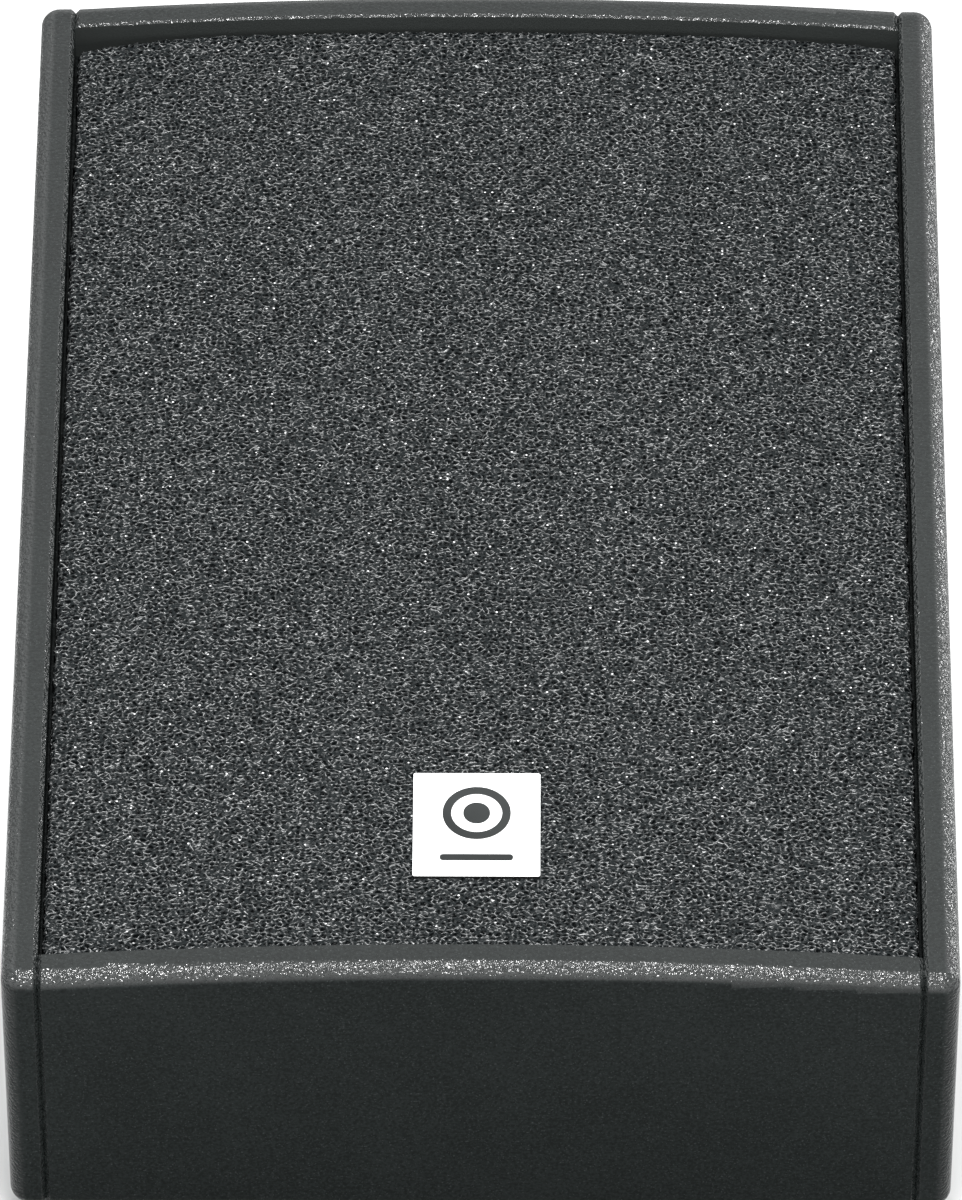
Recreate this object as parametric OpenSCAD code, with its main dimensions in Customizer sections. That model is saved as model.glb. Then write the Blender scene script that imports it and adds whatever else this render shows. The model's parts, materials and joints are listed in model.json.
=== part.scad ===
// Stage monitor wedge: a two-way floor loudspeaker cabinet with a foam-faced front.
// Units are millimetres, +Z is up, the listener stands on the -Y side.
// The origin lies on the floor under the middle of the cabinet.

/* [Cabinet] */
// Overall width across both cheeks
cabinet_w = 390; // [386:1:400]
// Length of the sloping front, from the front corner to the top corner
front_len = 562; // [558:1:575]
// Depth of the front and top panels, square to the slope
lip_depth = 143; // [140:1:150]
// Slope of the front above the floor, in degrees
slope = 35; // [34:0.5:36]
// Thickness of the cheeks and the panels
ply = 15; // [15:0.5:16]
// Rounding of the outer edges
edge_r = 8; // [6:0.5:8]
// Bevel that forms half of the groove between a cheek and a panel
seam = 1.8; // [1:0.1:2]
// Rise of the arched panel edges in the middle of the cabinet
bow = 7.4; // [5:0.1:8]

/* [Baffle] */
// Depth of the baffle's face below the panel edges
baffle_drop = 38; // [38:0.5:40]
// Thickness of the baffle
baffle_t = 18; // [15:1:18]
// Thickness of the inner brace
brace_t = 15; // [12:1:15]
// Section of the square cleats behind the baffle
cleat = 18; // [15:1:18]

/* [Grille] */
// Depth of the foam's face below the panel edges
foam_drop = 7.5; // [6:0.5:8]
// Thickness of the foam
foam_t = 10; // [8:0.5:10]
// Gap between the foam's side and the cheek
foam_gap = 2; // [1:0.5:4]
// Corner radius of the foam sheet
foam_corner = 10; // [4:1:20]
// Thickness of the perforated steel sheet
steel_t = 1.2; // [1:0.1:1.5]
// Corner radius of the six-sided holes in the steel sheet
perforation_r = 11; // [8:0.5:12]
// Spacing of the holes in the steel sheet
perforation_pitch = 31; // [30:0.5:36]

/* [Badge] */
// Width of the badge plate
badge_w = 52.4; // [45:0.1:60]
// Height of the badge plate
badge_h = 56.2; // [45:0.1:60]
// Thickness of the badge plate
badge_t = 1.6; // [1.5:0.1:3]
// Distance of the badge's middle from the front corner
badge_up = 83.7; // [80:1:110]

/* [Woofer] */
// Distance of the woofer's middle from the front corner
woofer_up = 192; // [191:0.5:193]
// Outer radius of the woofer's flange
woofer_r = 157.5; // [156:0.5:157.5]
// Radius of the baffle's woofer hole
woofer_hole_r = 141; // [141:0.5:142]
// Depth of the magnet's back below the baffle's face
motor_depth = 110; // [108:1:112]
// Radius of the ferrite magnet
magnet_r = 78; // [74:1:80]
// Voice coil radius
coil_r = 38; // [37.5:0.1:38]

/* [Horn] */
// Distance of the horn's middle from the front corner
horn_up = 447; // [446:0.5:448]
// Width of the horn's flange
horn_w = 180; // [170:1:182]
// Height of the horn's flange
horn_h = 150; // [144:1:150]
// Mouth radius of the horn
mouth_r = 62; // [58:1:64]
// Throat radius of the horn
throat_r = 12.7; // [12.5:0.1:12.7]
// Depth of the horn's throat below the baffle's face
throat_depth = 84; // [80:1:86]
// Outer radius of the compression driver
driver_r = 45; // [43:0.5:46]

/* [Ports] */
// Inner radius of the bass ports
port_r = 26; // [22:0.5:26]
// Length of the bass ports
port_len = 87; // [60:1:90]
// Distance of the ports from the cabinet's middle
port_x = 128; // [126:0.5:129]

/* [Back] */
// Height of the handle's middle above the cabinet's underside
handle_up = 122; // [118:1:124]
// Width of the handle cup's opening
handle_w = 180; // [160:1:180]
// Height of the handle cup's opening
handle_h = 82; // [78:1:82]
// Depth of the handle cup
handle_depth = 60; // [55:1:60]
// Radius of the rubber grip
grip_r = 13; // [12:0.5:14]
// Height of the connector dish's middle above the cabinet's underside
dish_up = 235; // [234:1:238]
// Sideways place of the connector dish
dish_x = -95; // [-100:1:-90]
// Width of the connector dish's opening
dish_w = 106; // [100:1:106]
// Height of the connector dish's opening
dish_h = 76; // [70:1:76]
// Depth of the connector dish
dish_depth = 40; // [36:1:40]
// Spacing of the two speaker sockets
socket_gap = 54; // [50:1:56]

/* [Feet] */
// Radius of a rubber foot
foot_r = 19; // [16:1:20]
// Height of a rubber foot
foot_h = 8; // [8:0.5:10]
// Distance of the feet from the cheeks' outer faces
foot_inset = 45; // [40:1:60]

/* [Hidden] */
$fn = 64;

paint = [0.19, 0.20, 0.20];
foam_colour = [0.28, 0.29, 0.29];
steel = [0.62, 0.63, 0.65];
dark_steel = [0.25, 0.26, 0.27];
ferrite = [0.17, 0.17, 0.18];
plastic = [0.11, 0.11, 0.12];
bare_wood = [0.72, 0.58, 0.40];
rubber = [0.09, 0.09, 0.09];
copper = [0.72, 0.42, 0.25];
badge_white = [0.96, 0.96, 0.96];
badge_grey = [0.38, 0.38, 0.39];

// Number of facets on arcs of a very large radius
big_fn = 256;
// Facets round a full circle of the cabinet's rounded corners
corner_fn = 72;
// Steps across the cheek's rounded rim
rim_steps = 8;
// Overlap that joins or clears two cuts
bite = 1;
// Radial room of a screw in its hole
play = 0.1;

panel_w = cabinet_w - 2 * ply;
back_t = 2.5;

// Corners of the side profile as (distance up the slope, distance out of the slope)
up = [sin(slope), cos(slope)];
back = [cos(slope), -sin(slope)];
near_corner = [0, 0];
front_foot = [0, -lip_depth];
rear_foot = front_foot + back * front_len * cos(slope);
rear_top = [front_len, -lip_depth];
far_corner = [front_len, 0];
outline = [near_corner, front_foot, rear_foot, rear_top, far_corner];

// Inner corners of the panels
front_foot_in = [ply, -lip_depth + ply * (1 - sin(slope)) / cos(slope)];
rear_foot_in = rear_foot + ply * (up - back);
rear_top_in = [front_len - ply, -lip_depth + ply * (1 - cos(slope)) / sin(slope)];

// Place of the near corner, with the cabinet's box centred on the origin
front_most = edge_r * cos(slope) + (edge_r - bow) * sin(slope) - edge_r;
rear_most = front_len * cos(slope) + lip_depth * sin(slope) + back_t;
near_y = -(front_most + rear_most) / 2;
near_z = foot_h + lip_depth * cos(slope);
rear_y = near_y + rear_most - back_t;
under_y = near_y + lip_depth * sin(slope);

// Radius and middle height of the arched edges
half_chord = panel_w / 2 - seam;
bow_r = (half_chord * half_chord + bow * bow) / (2 * bow);
lip_h = 30;

// Heights in the slope's own coordinates
baffle_z = -baffle_drop;
baffle_back = baffle_z - baffle_t;
steel_top = -foam_drop - foam_t;
steel_back = steel_top - steel_t;
inner_len = front_len - 2 * ply;

function unit(v) = v / norm(v);

// Direction of a 2D vector, in degrees
function heading_of(v) = atan2(v.y, v.x);

// Centre of the arc that rounds corner i of a convex outline
function corner_centre(p, i, r) =
    let (n = len(p), a = unit(p[(i + n - 1) % n] - p[i]), b = unit(p[(i + 1) % n] - p[i]))
    p[i] + unit(a + b) * r / sin(acos(a * b) / 2);

// The two points where the arc at corner i meets the straight sides
function corner_tangents(p, i, r) =
    let (n = len(p), a = unit(p[(i + n - 1) % n] - p[i]), b = unit(p[(i + 1) % n] - p[i]))
    [p[i] + a * r / tan(acos(a * b) / 2), p[i] + b * r / tan(acos(a * b) / 2)];

// Height of an arched surface above its ends, at a distance x from the middle
function bow_at(x) = sqrt(bow_r * bow_r - x * x) - (bow_r - bow);

// Slope coordinates of a place given in the cabinet's own frame
function on_slope_from(p) = [
    p.x,
    (p.y - near_y) * cos(slope) + (p.z - near_z) * sin(slope),
    (p.z - near_z) * cos(slope) - (p.y - near_y) * sin(slope)
];

// Slope coordinates: x to the right, y up the slope, z out of the slope
module on_slope() {
    translate([0, near_y, near_z]) rotate([slope, 0, 0]) children();
}

// Rear face coordinates: x to the left of the cabinet, y up, z out of the rear face
module on_rear() {
    translate([0, rear_y, foot_h]) rotate([90, 0, 180]) children();
}

// A side profile drawn as (up the slope, out of the slope), extruded across the width
module across(width) {
    rotate([90, 0, 90]) linear_extrude(width, center = true) children();
}

module round_rect(w, h, r) {
    square([w - 2 * r, h], center = true);
    square([w, h - 2 * r], center = true);
    for (x = [-1, 1], y = [-1, 1])
        translate([x * (w / 2 - r), y * (h / 2 - r)]) circle(r);
}

module ring(outer, inner, t) {
    linear_extrude(t) difference() {
        circle(outer);
        circle(inner);
    }
}

// A cross-head screw whose head's underside is at z = 0
module screw(head_r, head_t, shank_r, length) {
    difference() {
        cylinder(r = head_r, h = head_t);
        for (a = [0, 90])
            rotate([0, 0, a])
                translate([-head_r * 0.55, -head_r * 0.1, head_t * 0.45])
                    cube([head_r * 1.1, head_r * 0.2, head_t]);
    }
    translate([0, 0, -length]) cylinder(r = shank_r, h = length);
}

// Children repeated at the four corners of a rectangle
module at_corners(w, h) {
    for (x = [-1, 1], y = [-1, 1])
        translate([x * w / 2, y * h / 2, 0]) children();
}

// Children repeated round a circle
module round_circle(r, count, first = 0) {
    for (i = [0 : count - 1])
        rotate([0, 0, first + i * 360 / count]) translate([r, 0, 0]) children();
}

// ---- Cabinet ----

// Section through a cheek's rim: bevelled at the panels, fully rounded outside
function cheek_rim() = concat(
    [[0, 0], [edge_r - seam, 0], [edge_r, seam]],
    [for (i = [0 : rim_steps])
        [edge_r * cos(90 * i / rim_steps), ply - edge_r + edge_r * sin(90 * i / rim_steps)]]
);

// A plate of the cabinet's side profile, spanned between round corners
module cheek() {
    on_slope() translate([panel_w / 2, 0, 0]) rotate([90, 0, 90]) hull() {
        for (i = [0 : len(outline) - 1])
            translate(corner_centre(outline, i, edge_r))
                rotate_extrude($fn = corner_fn) polygon(cheek_rim());
    }
}

module cheek_right() {
    color(paint) cheek();
}

module cheek_left() {
    color(paint) mirror([1, 0, 0]) cheek();
}

// The side profile with its corners rounded by short straight steps
function rounded_outline() = [
    for (i = [0 : len(outline) - 1])
        let (
            centre = corner_centre(outline, i, edge_r),
            ends = corner_tangents(outline, i, edge_r),
            first = heading_of(ends[0] - centre),
            turn = (heading_of(ends[1] - centre) - first + 360) % 360,
            steps = round(turn * corner_fn / 360)
        )
        for (k = [0 : steps])
            centre + edge_r * [cos(first + turn * k / steps), sin(first + turn * k / steps)]
];

// One panel of the cabinet, from its outline in the side profile
module wall(points) {
    across(panel_w) intersection() {
        polygon(points);
        polygon(rounded_outline());
    }
}

// A strip that bevels the edge along z between a face at y = 0 and an end at x = seam
module bevel_strip(length) {
    linear_extrude(length) polygon([
        [0, 0], [seam + bite, seam + bite], [seam + bite, -bite], [0, -bite]
    ]);
}

// Children at both ends of the panels, x = 0 being where the bevel starts
module at_panel_ends() {
    for (side = [0, 1]) mirror([side, 0, 0]) translate([panel_w / 2 - seam, 0, 0]) children();
}

// What the bevels take off the ends of the front panel: its face, its rounding and its edge
module front_bevels() {
    reach = seam + bite;
    at_panel_ends() {
        translate([0, 0, -lip_depth - bite]) bevel_strip(lip_depth + bite - edge_r);
        translate([0, ply + bite, 0]) rotate([90, 0, 0]) mirror([0, 1, 0])
            bevel_strip(ply + bite - edge_r);
        difference() {
            translate([0, -bite, -edge_r]) cube([reach, edge_r + bite, edge_r + bite]);
            translate([0, edge_r, -edge_r]) rotate([0, 90, 0])
                cylinder(r1 = edge_r, r2 = edge_r - reach, h = reach);
        }
    }
}

// The arched and rounded edge strip of the front panel
module arched_edge() {
    inner_bevel = 1;
    sweep = 2 * asin((panel_w / 2 + edge_r) / bow_r);
    intersection() {
        translate([0, 0, bow - bow_r])
            rotate([-90, 0, 0])
                rotate([0, 0, -90 - sweep / 2])
                    rotate_extrude(angle = sweep, $fn = big_fn)
                        translate([bow_r, 0]) union() {
                            polygon([
                                [-lip_h, 0], [-edge_r, 0], [0, edge_r],
                                [0, ply - inner_bevel], [-inner_bevel, ply], [-lip_h, ply]
                            ]);
                            translate([-edge_r, edge_r]) circle(edge_r);
                        }
        translate([-panel_w / 2, 0, -2 * lip_h]) cube([panel_w, ply, 3 * lip_h]);
    }
}

module front_panel() {
    color(paint) on_slope() difference() {
        union() {
            wall([[0, -lip_h / 2], front_foot, front_foot_in, [ply, -lip_h / 2]]);
            arched_edge();
        }
        front_bevels();
    }
}

module top_panel() {
    color(paint) on_slope() difference() {
        union() {
            wall([
                rear_top, [front_len, -lip_h / 2], [front_len - ply, -lip_h / 2], rear_top_in
            ]);
            translate([0, front_len, 0]) mirror([0, 1, 0]) arched_edge();
        }
        translate([0, front_len, 0]) mirror([0, 1, 0]) front_bevels();
    }
}

module bottom_panel() {
    color(paint) difference() {
        on_slope() wall([front_foot, rear_foot, rear_foot_in, front_foot_in]);
        at_panel_ends() translate([0, rear_y, foot_h]) rotate([90, 0, 0]) bevel_strip(rear_y - under_y);
        at_feet() translate([0, 0, foot_h - bite])
            cylinder(r = feet_screw_r + play, h = feet_screw_bite + bite + play);
        at_crossover() at_corners(board_l - board_edge, board_w - board_edge)
            translate([0, 0, -board_bite - play])
                cylinder(r = board_screw_r + play, h = board_bite + bite);
    }
}

module rear_panel() {
    height = front_len * sin(slope);
    color(paint) difference() {
        on_slope() wall([rear_foot, rear_top, rear_top_in, rear_foot_in]);
        at_panel_ends() translate([0, rear_y, foot_h + height]) rotate([180, 0, 0]) bevel_strip(height);
        on_rear() {
            at_handle() back_cut(handle_w, handle_h, handle_corner, handle_screw_w, handle_screw_h);
            at_dish() back_cut(dish_w, dish_h, dish_corner, dish_screw_w, dish_screw_h);
        }
    }
}

// Hole for a recessed cup, and the pilot holes of its screws
module back_cut(w, h, r, screw_w, screw_h) {
    room = 0.5;
    translate([0, 0, -ply - bite])
        linear_extrude(ply + 2 * bite)
            round_rect(w + 2 * cup_wall + room, h + 2 * cup_wall + room, r + cup_wall);
    at_corners(screw_w, screw_h)
        translate([0, 0, -back_screw_bite - play])
            cylinder(r = back_screw_r + play, h = back_screw_bite + bite);
}

module baffle() {
    color(paint) on_slope() difference() {
        translate([-panel_w / 2, ply, baffle_back]) cube([panel_w, inner_len, baffle_t]);
        translate([0, 0, baffle_back - bite]) {
            translate([0, woofer_up, 0]) cylinder(r = woofer_hole_r, h = baffle_t + 2 * bite, $fn = 96);
            translate([0, horn_up, 0]) cylinder(r = mouth_r + 5, h = baffle_t + 2 * bite);
            for (x = [-port_x, port_x])
                translate([x, horn_up, 0])
                    cylinder(r = port_r + port_wall + play, h = baffle_t + 2 * bite);
            at_woofer_screws() cylinder(r = woofer_screw_r + play, h = baffle_t + 2 * bite);
            at_horn_screws() cylinder(r = horn_screw_r + play, h = baffle_t + 2 * bite);
        }
    }
}

// Window brace between the woofer and the horn, with two cable and air windows
brace_up = 353;
brace_foot = rear_foot_in.y + 15;
module brace() {
    height = baffle_back - brace_foot;
    window_w = 130;
    window_h = 220;
    color(bare_wood) on_slope() difference() {
        translate([-panel_w / 2, brace_up, brace_foot]) cube([panel_w, brace_t, height]);
        for (x = [-1, 1])
            translate([x * (window_w / 2 + 18), brace_up - bite, brace_foot + height / 2])
                rotate([-90, 0, 0]) linear_extrude(brace_t + 2 * bite) round_rect(window_w, window_h, 20);
        for (x = [-1, 1])
            translate([x * (panel_w - cleat) / 2, brace_up + brace_t / 2, baffle_back])
                cube([cleat + play, brace_t + bite, 2 * cleat + play], center = true);
    }
}

module baffle_cleats() {
    color(bare_wood) on_slope() translate([0, 0, baffle_back - cleat]) {
        for (x = [-panel_w / 2, panel_w / 2 - cleat])
            translate([x, ply, 0]) cube([cleat, inner_len, cleat]);
        for (y = [ply, front_len - ply - cleat])
            translate([-panel_w / 2 + cleat, y, 0]) cube([panel_w - 2 * cleat, cleat, cleat]);
    }
}

// ---- Grille and badge ----

// A sheet bowed like the panel edges, drop below them, from y0 to y1 up the slope
module bowed_sheet(width, y0, y1, drop, t) {
    translate([0, y0, bow - bow_r]) rotate([-90, 0, 0]) linear_extrude(y1 - y0) intersection() {
        difference() {
            circle(bow_r - drop, $fn = big_fn);
            circle(bow_r - drop - t, $fn = big_fn);
        }
        translate([-width / 2, -bow_r]) square([width, 4 * lip_h]);
    }
}

batten_w = 15;
batten_h = steel_back + bow_at(panel_w / 2) - baffle_z;
grille_screw_r = 1.6;
grille_screw_bite = 15;
grille_head_r = 3.6;
grille_head_t = 2.2;
module at_grille_screws() {
    rows = 4;
    x = (panel_w - batten_w) / 2;
    for (side = [-x, x], i = [0 : rows - 1])
        translate([side, ply + inner_len * (i + 0.5) / rows, steel_top + bow_at(x)]) children();
}

module grille_battens() {
    color(paint) on_slope() difference() {
        for (x = [-panel_w / 2, panel_w / 2 - batten_w])
            translate([x, ply, baffle_z]) cube([batten_w, inner_len, batten_h]);
        at_grille_screws() translate([0, 0, -grille_screw_bite - play])
            cylinder(r = grille_screw_r + play, h = grille_screw_bite + 2 * play);
    }
}

stud_r = 2;
module at_badge() {
    x = -1.95;
    translate([x, badge_up, bow - foam_drop]) children();
}

module at_studs() {
    at_badge() for (x = [-badge_w / 4, badge_w / 4]) translate([x, 0, 0]) children();
}

module grille_steel() {
    edge = 1.5;
    rim = 15;
    rows = floor((inner_len - 2 * rim) / (perforation_pitch * 0.866));
    columns = floor((panel_w - 2 * rim) / perforation_pitch) - 1;
    color(dark_steel) on_slope() difference() {
        bowed_sheet(panel_w - 2 * edge, ply + edge, front_len - ply - edge, foam_drop + foam_t, steel_t);
        for (row = [0 : rows - 1], column = [0 : columns - 1 - row % 2])
            translate([
                (column - (columns - 1 - row % 2) / 2) * perforation_pitch,
                front_len / 2 + (row - (rows - 1) / 2) * perforation_pitch * 0.866,
                steel_back - bite
            ]) cylinder(r = perforation_r, h = 3 * bow, $fn = 6);
        at_studs() translate([0, 0, -foam_t - 2 * steel_t]) cylinder(r = stud_r + play, h = 3 * steel_t);
        at_grille_screws() translate([0, 0, -2 * steel_t])
            cylinder(r = grille_screw_r + play, h = 3 * steel_t);
    }
}

module grille_foam() {
    edge = 2;
    color(foam_colour) on_slope() difference() {
        intersection() {
            bowed_sheet(panel_w, ply, front_len - ply, foam_drop, foam_t);
            translate([0, front_len / 2, -2 * lip_h]) linear_extrude(3 * lip_h)
                round_rect(panel_w - 2 * foam_gap, inner_len - 2 * edge, foam_corner);
        }
        at_studs() translate([0, 0, -foam_t - bite]) cylinder(r = stud_r + play, h = foam_t + 2 * bite);
        at_grille_screws() translate([0, 0, -bite])
            cylinder(r = grille_head_r + play, h = grille_head_t + 2 * bite);
    }
}

// The heads stand a little proud of the sheet, which slopes under them
module grille_screws() {
    proud = 0.35;
    color(dark_steel) on_slope() at_grille_screws()
        translate([0, 0, proud]) screw(grille_head_r, grille_head_t, grille_screw_r, grille_screw_bite);
}

module badge_plate() {
    color(badge_white) on_slope() {
        at_badge() linear_extrude(badge_t) round_rect(badge_w, badge_h, 1);
        at_studs() translate([0, 0, -foam_t - 2 * steel_t])
            cylinder(r = stud_r, h = foam_t + 2 * steel_t);
    }
}

// A generic mark: a dot in a ring above a short bar
module badge_emblem() {
    raised = 0.5;
    color(badge_grey) on_slope() at_badge() translate([0, 0, badge_t]) {
        translate([0, 6, 0]) ring(14, 10.5, raised);
        translate([0, 6, 0]) cylinder(r = 5.5, h = raised);
        translate([0, -18, 0]) linear_extrude(raised) round_rect(30, 3, 1.4);
    }
}

// ---- Woofer, in coordinates whose z = 0 is the baffle's face ----

module at_woofer() {
    on_slope() translate([0, woofer_up, baffle_z]) children();
}

woofer_screw_r = 2.3;
woofer_screw_bite = 16;
woofer_screw_circle = 149.5;
module round_woofer() {
    round_circle(woofer_screw_circle, 8, 22.5) children();
}

module at_woofer_screws() {
    translate([0, woofer_up, 0]) round_woofer() children();
}

gasket_t = 2;
flange_t = 5;
plate_t = 8;
magnet_t = 20;
basket_floor = -motor_depth + 2 * plate_t + magnet_t;
ledge_r = 129;
ledge_z = gasket_t + 3;
shelf_z = basket_floor + 20;
shelf_r = 76;

module woofer_gasket() {
    color(rubber) at_woofer() difference() {
        ring(woofer_r, woofer_hole_r, gasket_t);
        round_woofer() translate([0, 0, -bite])
            cylinder(r = woofer_screw_r + play, h = gasket_t + 2 * bite);
    }
}

// Cast basket: flange, ribbed cone with windows, and the spider's shelf
module woofer_basket() {
    shell = 4;
    wall_r = shelf_r + 10;
    color(plastic) at_woofer() difference() {
        rotate_extrude($fn = 96) polygon([
            [woofer_r, gasket_t], [woofer_r, gasket_t + flange_t], [139, gasket_t + flange_t],
            [139, ledge_z], [ledge_r, ledge_z], [ledge_r, ledge_z - 3], [133, ledge_z - 7],
            [wall_r - shell, shelf_z], [shelf_r, shelf_z], [shelf_r, shelf_z - 4],
            [wall_r - shell, shelf_z - 4], [wall_r - shell, basket_floor + 4],
            [coil_r + 6, basket_floor + 4], [coil_r + 6, basket_floor], [wall_r, basket_floor],
            [wall_r, shelf_z], [139, gasket_t]
        ]);
        round_woofer() cylinder(r = woofer_screw_r + play, h = 2 * flange_t);
        for (i = [0 : 5])
            rotate([0, 0, 30 + i * 60])
                translate([wall_r + 6, -22, shelf_z + 5]) cube([60, 44, -shelf_z - 20]);
    }
}

// Half-roll edge between the basket's ledge and the cone
roll_r = 8;
roll_mid = 121;
module woofer_surround() {
    skin = 0.8;
    lip = 8;
    color(rubber) at_woofer() translate([0, 0, ledge_z]) rotate_extrude($fn = 96) {
        difference() {
            translate([roll_mid, 0]) circle(roll_r);
            translate([roll_mid, 0]) circle(roll_r - skin);
            translate([roll_mid - 2 * roll_r, -2 * roll_r]) square([4 * roll_r, 2 * roll_r]);
        }
        translate([roll_mid + roll_r - skin, 0]) square([lip + skin, skin]);
        translate([roll_mid - roll_r - lip + skin, 0]) square([lip, skin]);
    }
}

// Paper cone, from the voice coil's former to the surround's inner lip
neck_z = shelf_z + 10;
cone_rim = roll_mid - roll_r;
module woofer_cone() {
    paper = 1.2;
    neck_r = coil_r + 0.7;
    color(dark_steel) at_woofer() rotate_extrude($fn = 96) polygon([
        [cone_rim, ledge_z], [cone_rim - 7, ledge_z], [neck_r, neck_z + paper],
        [neck_r, neck_z], [cone_rim - 6, ledge_z - paper], [cone_rim, ledge_z - paper]
    ]);
}

// Domed cap on the cone, with a flat glue lip
cap_r = 52;
cap_z = neck_z + (cap_r - coil_r) * (ledge_z - neck_z) / (cone_rim - 7 - coil_r) + 1.6;
module woofer_dust_cap() {
    rise = 16;
    skin = 0.8;
    dome_r = (cap_r * cap_r + rise * rise) / (2 * rise);
    color(dark_steel) at_woofer() translate([0, 0, cap_z]) rotate_extrude($fn = 96) intersection() {
        difference() {
            translate([0, rise - dome_r]) circle(dome_r, $fn = big_fn);
            translate([0, rise - dome_r]) circle(dome_r - skin, $fn = big_fn);
        }
        square([cap_r, rise]);
    }
}

former_t = 0.3;
module woofer_coil_former() {
    color(bare_wood) at_woofer() translate([0, 0, basket_floor - plate_t - 6])
        ring(coil_r + former_t, coil_r, neck_z + 3 - (basket_floor - plate_t - 6));
}

module woofer_voice_coil() {
    winding = 0.9;
    length = 16;
    color(copper) at_woofer() translate([0, 0, basket_floor - plate_t / 2 - length / 2])
        ring(coil_r + former_t + winding, coil_r + former_t, length);
}

// Corrugated centring disc on the basket's shelf
module woofer_spider() {
    cloth = 0.6;
    wave = 2;
    pitch = 4;
    first = coil_r + former_t;
    count = floor((shelf_r - first) / pitch);
    top = [for (i = [0 : count]) [first + i * pitch, (i % 2) * wave]];
    color(bare_wood) at_woofer() translate([0, 0, shelf_z]) rotate_extrude() {
        polygon(concat(
            [for (p = top) p + [0, cloth]],
            [[shelf_r + 5, cloth], [shelf_r + 5, 0], [shelf_r, 0]],
            [for (i = [count : -1 : 0]) top[i]]
        ));
    }
}

module woofer_top_plate() {
    color(steel) at_woofer() translate([0, 0, basket_floor - plate_t])
        ring(magnet_r - 10, coil_r + 2.2, plate_t);
}

module woofer_magnet() {
    color(ferrite) at_woofer() translate([0, 0, basket_floor - plate_t - magnet_t])
        ring(magnet_r, 50, magnet_t);
}

// Back plate and vented pole in one piece
module woofer_yoke() {
    vent_r = 10;
    color(steel) at_woofer() translate([0, 0, -motor_depth]) difference() {
        union() {
            cylinder(r = magnet_r - 2, h = plate_t);
            cylinder(r = coil_r - 0.8, h = 2 * plate_t + magnet_t);
        }
        translate([0, 0, -bite]) cylinder(r = vent_r, h = 2 * plate_t + magnet_t + 2 * bite);
    }
}

// Terminal block on the basket's wall, with two solder tabs
module woofer_terminals() {
    color(plastic) at_woofer() translate([0, shelf_r + 10.1, basket_floor + 4]) {
        translate([-14, 0, 0]) cube([28, 6, 12]);
        for (x = [-9, 5]) translate([x, 6, 5]) cube([4, 9, 0.8]);
    }
}

module woofer_screws() {
    color(dark_steel) at_woofer() round_woofer()
        translate([0, 0, gasket_t + flange_t]) screw(5, 3, woofer_screw_r, woofer_screw_bite);
}

// ---- Horn and compression driver, same coordinates ----

module at_horn() {
    on_slope() translate([0, horn_up, baffle_z]) children();
}

horn_screw_r = 2;
horn_screw_bite = 16;
horn_flange_t = 4;
module at_horn_screws() {
    translate([0, horn_up, 0]) at_corners(horn_w - 16, horn_h - 16) children();
}

bolt_r = 3;
bolt_circle = 38.1;
throat_t = 6;
driver_top = -throat_depth;

// Round horn with a flared bell; the throat end carries the driver
module horn() {
    wall = 3;
    steps = 10;
    flare = [for (i = [0 : steps]) let (t = i / steps)
        [throat_r * pow(mouth_r / throat_r, t), horn_flange_t - (throat_depth + horn_flange_t) * (1 - t)]];
    color(plastic) at_horn() difference() {
        union() {
            linear_extrude(horn_flange_t) round_rect(horn_w, horn_h, 10);
            rotate_extrude($fn = 96) polygon(concat(
                [for (p = flare) p + [wall, 0]],
                [for (i = [steps : -1 : 0]) flare[i]]
            ));
            translate([0, 0, driver_top]) cylinder(r = driver_r, h = throat_t);
        }
        rotate_extrude($fn = 96) polygon(concat(
            [[0, driver_top - bite], [throat_r, driver_top - bite]],
            flare,
            [[mouth_r, horn_flange_t + bite], [0, horn_flange_t + bite]]
        ));
        round_circle(bolt_circle, 2, 45) translate([0, 0, driver_top - bite])
            cylinder(r = bolt_r + play, h = throat_t + 2 * bite);
        at_corners(horn_w - 16, horn_h - 16) translate([0, 0, -bite])
            cylinder(r = horn_screw_r + play, h = horn_flange_t + 2 * bite);
    }
}

module horn_screws() {
    color(dark_steel) at_horn() at_corners(horn_w - 16, horn_h - 16)
        translate([0, 0, horn_flange_t]) screw(4.2, 2.6, horn_screw_r, horn_screw_bite);
}

hf_plate = 8;
hf_magnet_t = 14;
hf_cap_t = 6;
pole_r = 21.4;
hf_gap_r = 22.9;
dome_z = driver_top - hf_plate - hf_magnet_t - hf_cap_t;

// Front plate and pole of the driver, with the flared throat bore
module hf_yoke() {
    plug_r = 17;
    color(steel) at_horn() difference() {
        translate([0, 0, driver_top - hf_plate]) cylinder(r = driver_r, h = hf_plate);
        yoke_bore(plug_r);
        round_circle(bolt_circle, 2, 45) translate([0, 0, driver_top - hf_plate - bite])
            cylinder(r = bolt_r + play, h = hf_plate + 2 * bite);
    }
    color(steel) at_horn() difference() {
        translate([0, 0, dome_z]) cylinder(r = pole_r, h = -dome_z + driver_top - hf_plate);
        yoke_bore(plug_r);
    }
}

// Bore that widens from the throat to the phase plug's seat
module yoke_bore(wide_r) {
    translate([0, 0, dome_z - bite]) rotate_extrude() polygon([
        [0, 0], [wide_r, 0], [wide_r, hf_cap_t + 4],
        [throat_r, driver_top - dome_z + 2 * bite], [0, driver_top - dome_z + 2 * bite]
    ]);
}

module hf_magnet() {
    color(ferrite) at_horn() translate([0, 0, driver_top - hf_plate - hf_magnet_t])
        ring(driver_r, 29, hf_magnet_t);
}

module hf_top_plate() {
    color(steel) at_horn() translate([0, 0, dome_z]) ring(driver_r, hf_gap_r, hf_cap_t);
}

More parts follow.
